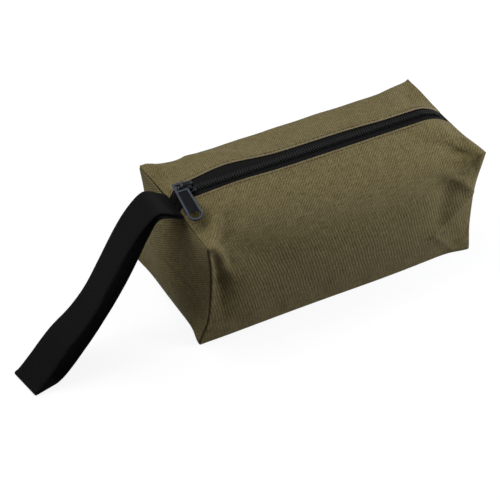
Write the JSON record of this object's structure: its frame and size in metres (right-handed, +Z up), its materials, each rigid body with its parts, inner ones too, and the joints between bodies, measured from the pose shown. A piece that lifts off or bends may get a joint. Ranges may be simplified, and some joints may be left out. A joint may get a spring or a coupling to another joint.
{
  "type": "tool pouch",
  "caption": "Zipped box-shaped cloth pouch for hand tools, with pointed corners, a coil zip along its top and a webbing wrist loop at one end.",
  "frame": {"origin": "centre of the flat base, on the surface that the pouch stands on", "axes": "+X along the pouch, from the end with the wrist strap and the closed slider to the other end; +Z up; -Y towards the viewer's side, to which the pull tab lies"},
  "size_m": [0.3607, 0.105, 0.1087],
  "materials": {
    "olive_cloth": "ribbed olive oxford cloth with a coated back, slight sheen",
    "zip_tape": "black woven zip tape",
    "zip_coil": "black nylon monofilament, satin",
    "slider_enamel": "glossy black enamel on die-cast zinc",
    "webbing": "black plain-woven polypropylene webbing"
  },
  "bodies": {
    "pouch": {"body_panel": "olive_cloth", "end_panel_left": "olive_cloth", "end_panel_right": "olive_cloth", "zip_tape_near": "zip_tape", "zip_tape_far": "zip_tape", "zip_coil_near": "zip_coil", "zip_coil_far": "zip_coil"},
    "slider": {"slider_body": "slider_enamel", "slider_lower_plate": "slider_enamel"},
    "pull_tab": {"pull_tab": "slider_enamel"},
    "strap": {"wrist_strap": "webbing"}
  },
  "joints": [
    {"name": "slider_travel", "type": "slide", "parent": "pouch", "child": "slider", "axis": [1, 0, 0], "range_m": [0, 0.191]},
    {"name": "pull_tab_lift", "type": "hinge", "parent": "slider", "child": "pull_tab", "pos_m": [-0.1102, 0, 0.10605], "axis": [-1, 0, 0], "range_deg": [0, 36]},
    {"name": "strap_swing", "type": "hinge", "parent": "pouch", "child": "strap", "pos_m": [-0.11535, 0, 0.09165], "axis": [0, 1, 0], "range_deg": [0, 38]}
  ]
}
